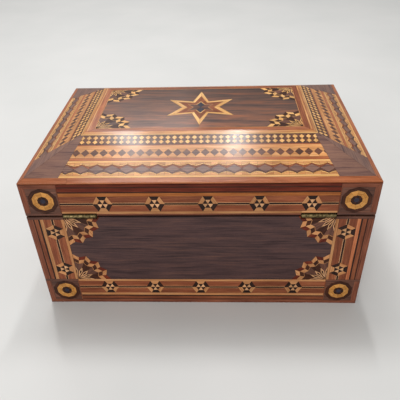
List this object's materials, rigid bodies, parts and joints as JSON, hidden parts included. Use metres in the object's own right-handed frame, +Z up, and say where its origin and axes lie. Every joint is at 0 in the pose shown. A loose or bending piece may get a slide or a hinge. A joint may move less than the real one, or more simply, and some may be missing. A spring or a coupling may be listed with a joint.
{
  "type": "inlaid wooden box",
  "caption": "Rectangular wooden box with a hipped, flat-topped lid on brass butt hinges; star, sunburst and diamond inlay over all its faces.",
  "frame": {"origin": "centre of the box's outline on the plane that it stands on", "axes": "+Z up, +X along the long side, hinged side facing -Y"},
  "size_m": [0.268, 0.1824, 0.1452],
  "materials": {
    "carcass_wood": "plain sawn softwood, waxed",
    "rosewood": "polished dark rosewood veneer",
    "red_wood": "polished red-brown wood with inlaid light and dark lines",
    "walnut": "polished dark walnut",
    "light_inlay": "polished golden light wood",
    "hinge_brass": "aged, dull"
  },
  "bodies": {
    "case": {"case_base": "carcass_wood", "case_foot_band_back": "red_wood", "case_foot_band_front": "red_wood", "case_foot_band_left": "red_wood", "case_foot_band_right": "red_wood", "case_panel_back": "rosewood", "case_panel_front": "rosewood", "case_panel_left": "rosewood", "case_panel_right": "rosewood", "case_pillar_back_left": "red_wood", "case_pillar_back_right": "red_wood", "case_pillar_front_left": "red_wood", "case_pillar_front_right": "red_wood", "case_pillar_left_back": "red_wood", "case_pillar_left_front": "red_wood", "case_pillar_right_back": "red_wood", "case_pillar_right_front": "red_wood", "case_wall_back": "carcass_wood", "case_wall_front": "carcass_wood", "case_wall_left": "carcass_wood", "case_wall_right": "carcass_wood", "hinge_left_case_leaf": "hinge_brass", "hinge_left_case_screw_left": "hinge_brass", "hinge_left_case_screw_right": "hinge_brass", "hinge_left_pin": "hinge_brass", "hinge_right_case_leaf": "hinge_brass", "hinge_right_case_screw_left": "hinge_brass", "hinge_right_case_screw_right": "hinge_brass", "hinge_right_pin": "hinge_brass"},
    "lid": {"hinge_left_lid_leaf": "hinge_brass", "hinge_left_lid_screw_left": "hinge_brass", "hinge_left_lid_screw_right": "hinge_brass", "hinge_right_lid_leaf": "hinge_brass", "hinge_right_lid_screw_left": "hinge_brass", "hinge_right_lid_screw_right": "hinge_brass", "lid_band_back": "red_wood", "lid_band_front": "red_wood", "lid_band_left": "red_wood", "lid_band_right": "red_wood", "lid_corner_back_left": "walnut", "lid_corner_back_right": "walnut", "lid_corner_front_left": "walnut", "lid_corner_front_right": "walnut", "lid_inlay_back": "light_inlay", "lid_inlay_front": "light_inlay", "lid_inlay_left": "light_inlay", "lid_inlay_right": "light_inlay", "lid_inlay_top": "rosewood", "lid_rail_back": "carcass_wood", "lid_rail_front": "carcass_wood", "lid_rail_left": "carcass_wood", "lid_rail_right": "carcass_wood", "lid_slope_back": "carcass_wood", "lid_slope_front": "carcass_wood", "lid_slope_left": "carcass_wood", "lid_slope_right": "carcass_wood", "lid_top": "carcass_wood"}
  },
  "joints": [
    {"name": "lid_hinge", "type": "hinge", "parent": "case", "child": "lid", "pos_m": [0, -0.08925, 0.09615], "axis": [1, 0, 0], "range_deg": [0, 105]}
  ]
}
